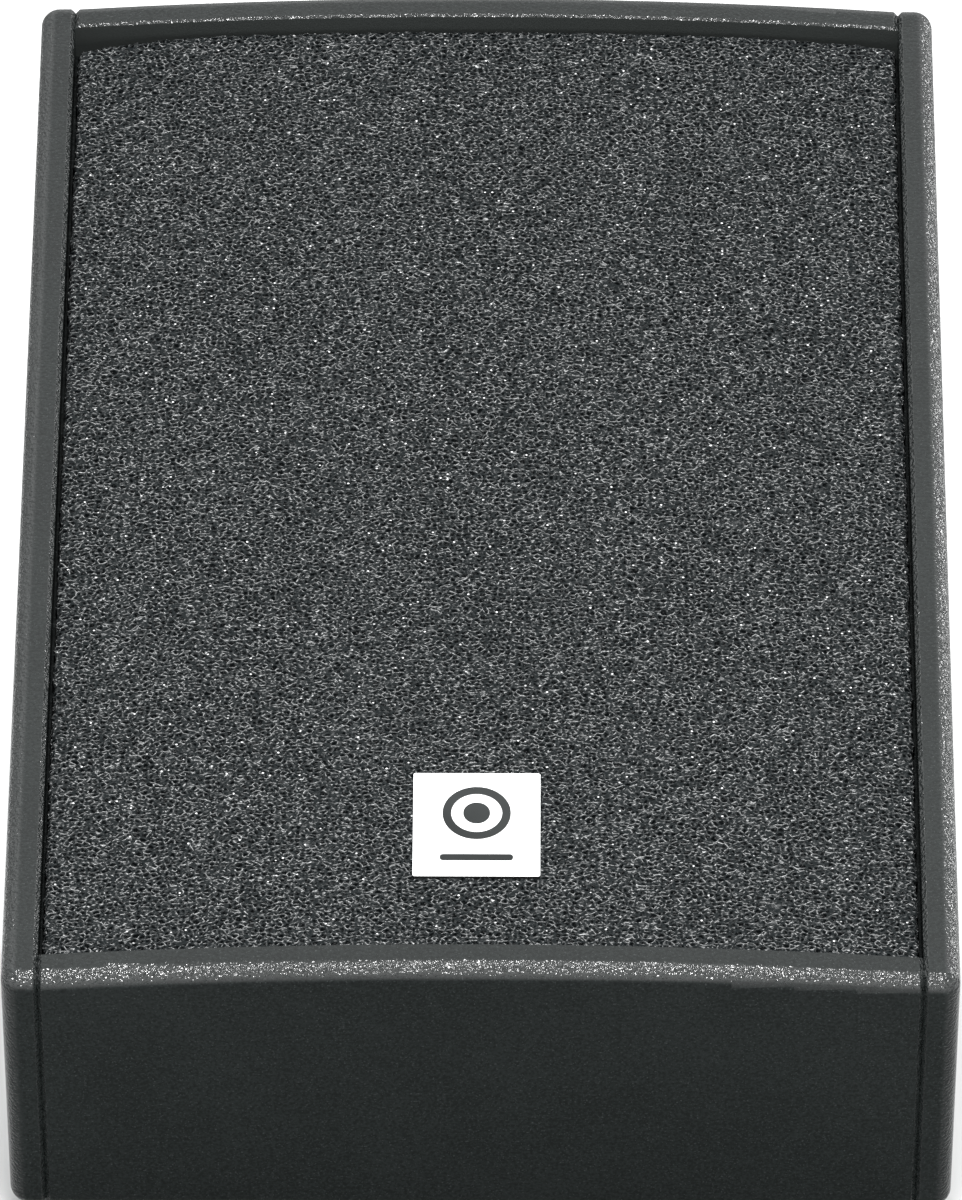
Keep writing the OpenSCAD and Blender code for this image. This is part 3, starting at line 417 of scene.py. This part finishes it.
def moulded(name, colour, rough=0.45, grain=0.0007, depth=0.00005, gloss=0.5):
    """Moulded plastic or rubber with a spark-eroded grain."""
    f = Finish(name, rough=rough, gloss=gloss)
    fine = f.cloud(grain, detail=3, rough=0.6).outputs["Fac"]
    cloudy = f.cloud(0.03, detail=3).outputs["Fac"]
    lighter = tuple(c * 1.35 + 0.004 for c in colour)
    shade = f.blend(f.step(cloudy, 0.35, 0.75), colour, lighter)
    patchy = f.step(cloudy, 0.3, 0.7, rough + 0.06, rough - 0.06)
    return f.done(shade, patchy, f.relief(fine, depth))


# Painted shade on the badge plate's side faces
SIDE_SHADE = (0.012, 0.012, 0.012)


def badge_face(name):
    """White moulded plate whose side faces are painted dark, as shade."""
    f = Finish(name, rough=0.3)
    out = f.parts(f.along(turn=(-SLOPE, 0, 0), vector=f.facing))[2]
    cloudy = f.cloud(0.03, detail=3).outputs["Fac"]
    fine = f.cloud(0.002, detail=3, rough=0.6).outputs["Fac"]
    white = f.blend(f.step(cloudy, 0.35, 0.75), (0.84, 0.85, 0.85), (0.88, 0.89, 0.89))
    # Faces turned away from the slope's normal get the painted shade
    shade = f.blend(f.step(out, 0.55, 0.85), SIDE_SHADE, white)
    return f.done(shade, f.step(cloudy, 0.3, 0.7, 0.36, 0.24), f.relief(fine, 0.00001))


def brushed(name, colour, rough=0.3, metal=1.0):
    """Plated or turned metal with fine lines and duller patches."""
    spread = 0.12
    f = Finish(name, rough=rough, metal=metal)
    lines = f.cloud(0.0006, detail=3, rough=0.7, vector=f.along(scale=(1, 1, 6))).outputs["Fac"]
    dull = f.cloud(0.012, detail=3).outputs["Fac"]
    darker = tuple(c * 0.8 for c in colour)
    shade = f.blend(f.step(dull, 0.35, 0.7), colour, darker)
    patchy = f.step(dull, 0.3, 0.7, rough - spread / 2, rough + spread)
    return f.done(shade, patchy, f.relief(lines, 0.00002))


# How far apart a wave texture's bands are at scale 1, in metres
BAND_SPACING = 0.314


def woven(name, colour, dark, thread=0.0007):
    """Impregnated cloth: two crossing sets of threads."""
    f = Finish(name, rough=0.85, sheen=0.1)
    warp = f.tree.nodes.new("ShaderNodeTexWave")
    weft = f.tree.nodes.new("ShaderNodeTexWave")
    for node, way in ((warp, "X"), (weft, "Y")):
        node.bands_direction = way
        node.inputs["Scale"].default_value = BAND_SPACING / thread
        f.link(f.place, node.inputs["Vector"])
    crossed = f.math("MULTIPLY", warp.outputs["Fac"], weft.outputs["Fac"])
    return f.done(f.blend(crossed, dark, colour), normal=f.relief(crossed, 0.0001))


def fibrous(name, colour, dark, size=0.0015):
    """Paper pulp or wadding: short tangled fibres."""
    f = Finish(name, rough=0.9, sheen=0.2)
    fibres = f.cloud(size, detail=5, rough=0.75, distortion=1.5).outputs["Fac"]
    return f.done(f.blend(f.step(fibres, 0.3, 0.7), dark, colour), normal=f.relief(fibres, 0.0004))


def wound(name, colour):
    """Enamelled wire: fine turns side by side."""
    wire = 0.0008
    f = Finish(name, rough=0.25, metal=0.9, coat=0.4)
    turns = f.tree.nodes.new("ShaderNodeTexWave")
    turns.bands_direction = "Z"
    turns.inputs["Scale"].default_value = BAND_SPACING / wire
    f.link(f.along(turn=(-SLOPE, 0, 0)), turns.inputs["Vector"])
    shade = f.cloud(0.01).outputs["Fac"]
    colour = f.blend(shade, colour, tuple(c * 0.6 for c in colour))
    return f.done(colour, normal=f.relief(turns.outputs["Fac"], 0.0002))


def studio_floor(name):
    """Plain pale floor, with a trace of unevenness."""
    f = Finish(name, rough=0.9, gloss=0.1)
    haze = f.cloud(0.8, detail=2).outputs["Fac"]
    return f.done(f.blend(haze, (0.70, 0.70, 0.70), (0.73, 0.73, 0.73)))


PAINT = (0.0068, 0.0083, 0.0080)
PALER_PAINT = (0.0128, 0.0154, 0.0150)
BLACK = (0.020, 0.021, 0.022)

# One finish for each material slot of the record. A moulded one has its colour, roughness, the
# size and depth of its grain in metres, and its gloss.
FINISHES = {
    "cabinet_paint": lambda n: structure_paint(n, PAINT, PALER_PAINT, 0.6),
    "baffle_paint": lambda n: structure_paint(n, (0.005, 0.006, 0.006), (0.007, 0.008, 0.008), 0.1),
    "inner_wood": bare_ply,
    "grille_steel": lambda n: moulded(n, (0.015, 0.015, 0.016), 0.38, 0.0005, 0.00004),
    "grille_foam": open_foam,
    "badge_white": badge_face,
    "badge_grey": lambda n: moulded(n, (0.020, 0.022, 0.022), 0.5, 0.0008, 0.00002, 0.15),
    "cast_black": lambda n: moulded(n, (0.03, 0.03, 0.031), 0.5, 0.0012, 0.0001),
    "gasket_rubber": lambda n: moulded(n, (0.02, 0.02, 0.02), 0.75, 0.0006, 0.0001),
    "surround_cloth": lambda n: woven(n, (0.035, 0.035, 0.036), (0.012, 0.012, 0.012)),
    "cone_paper": lambda n: fibrous(n, (0.05, 0.05, 0.052), (0.018, 0.018, 0.019)),
    "former_polyimide": lambda n: moulded(n, (0.42, 0.20, 0.05), 0.3, 0.001, 0.00001),
    "copper_wire": lambda n: wound(n, (0.80, 0.38, 0.20)),
    "spider_cloth": lambda n: woven(n, (0.50, 0.36, 0.16), (0.26, 0.17, 0.07), 0.0009),
    "bright_steel": lambda n: brushed(n, (0.66, 0.67, 0.69)),
    "ferrite": lambda n: moulded(n, (0.035, 0.034, 0.036), 0.6, 0.0009, 0.0001),
    "black_plastic": lambda n: moulded(n, BLACK, 0.42),
    "black_screw": lambda n: brushed(n, (0.045, 0.045, 0.048), 0.35, metal=0.7),
    "board_green": lambda n: moulded(n, (0.03, 0.12, 0.04), 0.35, 0.0015, 0.00002),
    "capacitor_film": lambda n: moulded(n, (0.55, 0.38, 0.06), 0.28, 0.003, 0.00002),
    "resistor_ceramic": lambda n: moulded(n, (0.72, 0.70, 0.64), 0.7, 0.0006, 0.00008),
    "wire_jacket": lambda n: moulded(n, (0.35, 0.03, 0.025), 0.4, 0.002, 0.00002),
    "foot_rubber": lambda n: moulded(n, (0.016, 0.016, 0.017), 0.7, 0.0009, 0.00012),
    "wadding": lambda n: fibrous(n, (0.78, 0.78, 0.75), (0.45, 0.45, 0.43), 0.004),
}
finish = {name: make(name) for name, make in FINISHES.items()}


# ---- The CAD nodes' finishes and smooth shading ----

SOFTENED = (
    "cheek_left", "cheek_right", "front_panel", "top_panel",
    "bottom_panel", "rear_panel", "badge_plate",
)
SOFT_EDGE = 0.0003
SOFT_STEPS = 3
SAME_POINT = 1e-5
SAME_PLANE = math.radians(0.1)
SHARP = math.radians(30)
CREASE = math.radians(28)


def dress_cad_nodes():
    """Gives every CAD node the finish its record slot names, with smooth curved faces.

    The panels and the badge get softened edges, once the triangles of each flat are one face."""
    for row in frame["record"]["subparts"]:
        node = frame["nodes"][row["node"]]
        node.data.materials.clear()
        node.data.materials.append(finish[row["material_slot"]])
        node.data.polygons.foreach_set("use_smooth", [True] * len(node.data.polygons))
        weld = node.modifiers.new("weld", "WELD")
        weld.merge_threshold = SAME_POINT
        if row["node"] in SOFTENED:
            flat = node.modifiers.new("flat", "DECIMATE")
            flat.decimate_type = "DISSOLVE"
            flat.angle_limit = SAME_PLANE
            bevel = node.modifiers.new("soft_edges", "BEVEL")
            bevel.width = SOFT_EDGE
            bevel.segments = SOFT_STEPS
            bevel.limit_method = "ANGLE"
            bevel.angle_limit = SHARP
            even = node.modifiers.new("even", "WEIGHTED_NORMAL")
            even.weight = 100
        else:
            split = node.modifiers.new("crease", "EDGE_SPLIT")
            split.split_angle = CREASE


# ---- Helpers for the pieces that replace CAD nodes ----


def closed_mesh(bm, name, turned):
    """The finished mesh of bm, its faces looking outwards, moved by the matrix turned."""
    bmesh.ops.recalc_face_normals(bm, faces=bm.faces)
    mesh = bpy.data.meshes.new(name)
    bm.to_mesh(mesh)
    bm.free()
    mesh.transform(turned)
    return mesh


def place(name, mesh, slot, node):
    """Puts a finished mesh in the scene, in place of a node of the cabinet's body."""
    mesh.materials.append(finish[slot])
    mesh.polygons.foreach_set("use_smooth", [True] * len(mesh.polygons))
    piece = bpy.data.objects.new(name, mesh)
    bpy.context.scene.collection.objects.link(piece)
    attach(piece, "cabinet")
    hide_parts(node)
    return piece


# ---- The foam front ----

# The seam round the sheet, its corner radius, the roll of its rim, and the mesh's spacing
FOAM_GAP = 0.0016
FOAM_CORNER = 0.003
FOAM_ROLL = 0.0025
ROLL_STEPS = 6
FOAM_STEP = 0.0018

# How far the far edge sags at its corners, the share of the half-width where the sag starts,
# and the power with which it fades down the sheet
FAR_SAG_LEFT = 0.0065
FAR_SAG_RIGHT = 0.0028
SAG_FROM = 0.62
SAG_FADE = 12

# The cut rim's raggedness, the size of its tatters, and the power with which they fade inwards
RAGGED = 0.0013
TATTER_SIZE = 0.0024
TATTER_FADE = 40

# Without a seed, the noise vectors start from the clock and the tatters differ from run to run
NOISE_SEED = 1

# The face's unevenness, and the sizes of its lumps and of its roughness
UNEVEN = 0.0005
LUMP_SIZE = 0.03
ROUGH_SIZE = 0.0021

foam_half_w = panel_w / 2 - FOAM_GAP
foam_half_l = front_len / 2 - PLY - FOAM_GAP


def spaced(half):
    """Places from -half to half, closer together near the rim."""
    quarter = [math.pi / 2 * k / ROLL_STEPS for k in range(ROLL_STEPS)]
    roll = [half - FOAM_ROLL * (1 - math.cos(a)) for a in quarter]
    inner = half - FOAM_ROLL
    steps = round(2 * inner / FOAM_STEP)
    middle = [inner - 2 * inner * k / steps for k in range(steps + 1)]
    return roll + middle + [-x for x in reversed(roll)]


def rounded_corner(x, y, level):
    """Moves a point near a corner onto the round one; level is 0 in the middle, 1 at the rim."""
    inner_x = (foam_half_w - FOAM_CORNER) * level
    inner_y = (foam_half_l - FOAM_CORNER) * level
    over_x, over_y = abs(x) - inner_x, abs(y) - inner_y
    if over_x > 0 and over_y > 0:
        scale = max(over_x, over_y) / math.hypot(over_x, over_y)
        x = math.copysign(inner_x + over_x * scale, x)
        y = math.copysign(inner_y + over_y * scale, y)
    return x, y


def rim_drop(x, y, level):
    """How far the rolled rim falls below the face."""
    half = foam_half_l if abs(x) / foam_half_w < abs(y) / foam_half_l else foam_half_w
    rim = (1 - level) * half
    return FOAM_ROLL - math.sqrt(max(FOAM_ROLL**2 - max(FOAM_ROLL - rim, 0) ** 2, 0))


def on_sheet(x, y):
    """Where a point of the rectangle's grid lies on the sheet's face."""
    level = max(abs(x) / foam_half_w, abs(y) / foam_half_l)
    x, y = rounded_corner(x, y, level)
    z = -FOAM_DROP - rim_drop(x, y, level)
    share = max(y / foam_half_l, 0) ** SAG_FADE
    corner = max(abs(x) / foam_half_w - SAG_FROM, 0) / (1 - SAG_FROM)
    y -= share * corner**2 * (FAR_SAG_LEFT if x < 0 else FAR_SAG_RIGHT)
    tug = noise.noise_vector(Vector((x, y, 0)) / TATTER_SIZE) * RAGGED * level**TATTER_FADE
    x, y = x + tug.x, y + tug.y
    lump = noise.noise(Vector((x, y, 0)) / LUMP_SIZE) * UNEVEN
    rough = noise.noise(Vector((x, y, z)) / ROUGH_SIZE) * UNEVEN
    return x, y + front_len / 2, z + bow_at(x) + lump + rough


def foam_front():
    """The foam sheet: bowed like the panel edges, its rim rolled over and slightly ragged."""
    noise.seed_set(NOISE_SEED)
    bm = bmesh.new()
    across, along = spaced(foam_half_w), spaced(foam_half_l)
    grid = [[bm.verts.new(on_sheet(x, y)) for x in across] for y in along]
    for low, high in zip(grid, grid[1:]):
        for i in range(len(low) - 1):
            bm.faces.new((low[i], low[i + 1], high[i + 1], high[i]))

    # The cut sides go straight down from the rim to the underside, which is one face
    rim = grid[0] + [row[-1] for row in grid[1:]]
    rim += grid[-1][-2::-1] + [row[0] for row in grid[-2:0:-1]]
    bottom = -FOAM_DROP - FOAM_T
    under = [bm.verts.new((v.co.x, v.co.y, bottom + bow_at(v.co.x))) for v in rim]
    for i, v in enumerate(rim):
        k = (i + 1) % len(rim)
        bm.faces.new((v, under[i], under[k], rim[k]))
    bm.faces.new(under)
    mesh = closed_mesh(bm, "foam_front", slope_frame)
    foam = place("foam_front", mesh, "grille_foam", "grille_foam")


# ---- The handle's grip ----

GRIP_STEPS = 48
GRIP_RIBS = 30
RIB_STEPS = 6
RIB_DEPTH = 0.0009
GRIP_SWELL = 0.0012
GRIP_CREASE = math.radians(50)
BAR_R = 0.0082

# The plain collars: their length, their radius and their ends' as shares of the grip's, and
# the length of the bevels at their two ends
GRIP_COLLAR = 0.005
COLLAR_R = 0.95
COLLAR_END_R = 0.90
OUTER_BEVEL = 0.0008
INNER_BEVEL = 0.001


def lathe(name, outline, steps, turned):
    """A closed outline of (distance, radius) points swept round the x axis of turned."""
    bm = bmesh.new()
    turn = [2 * math.pi * k / steps for k in range(steps)]
    rings = [
        [bm.verts.new((x, r * math.cos(t), r * math.sin(t))) for t in turn] for x, r in outline
    ]
    for low, high in zip(rings, rings[1:] + rings[:1]):
        for i in range(steps):
            k = (i + 1) % steps
            bm.faces.new((low[i], low[k], high[k], high[i]))
    return closed_mesh(bm, name, turned)


def handle_grip():
    """A moulded rubber sleeve: plain collars, and rounded ribs on a slightly swollen middle."""
    low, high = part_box("handle_grip")
    half = (high.x - low.x) / 2
    full = (high.z - low.z) / 2
    ribbed = half - GRIP_COLLAR
    collar = [
        (half, BAR_R),
        (half, full * COLLAR_END_R),
        (half - OUTER_BEVEL, full * COLLAR_R),
        (ribbed + INNER_BEVEL, full * COLLAR_R),
        (ribbed, full * COLLAR_END_R),
    ]
    ribs = []
    samples = GRIP_RIBS * RIB_STEPS
    for k in range(samples + 1):
        x = -ribbed + 2 * ribbed * k / samples
        wave = abs(math.sin(math.pi * GRIP_RIBS * k / samples))
        swell = full - GRIP_SWELL * (x / ribbed) ** 2
        ribs.append((x, swell - RIB_DEPTH * (1 - wave)))
    outline = [(-x, r) for x, r in collar] + ribs + collar[::-1]
    middle = Matrix.Translation((low + high) / 2)
    mesh = lathe("grip_sleeve", outline, GRIP_STEPS, middle)
    grip = place("grip_sleeve", mesh, "foot_rubber", "handle_grip")
    crease = grip.modifiers.new("crease", "EDGE_SPLIT")
    crease.split_angle = GRIP_CREASE


# ---- Making the scene ----

make_camera()
make_world()
make_softbox("key", 36, 2, 3.6, 0.6, 0.6, 175)
make_softbox("rim", 20, 125, 3.0, 0.6, 1.0, 34)
make_softbox("back", 25, 190, 4.0, 1.5, 1.5, 60, mirrored=False)
make_floor(studio_floor("floor"))
dress_cad_nodes()
foam_front()
handle_grip()
bpy.context.scene.view_settings.view_transform = "Standard"
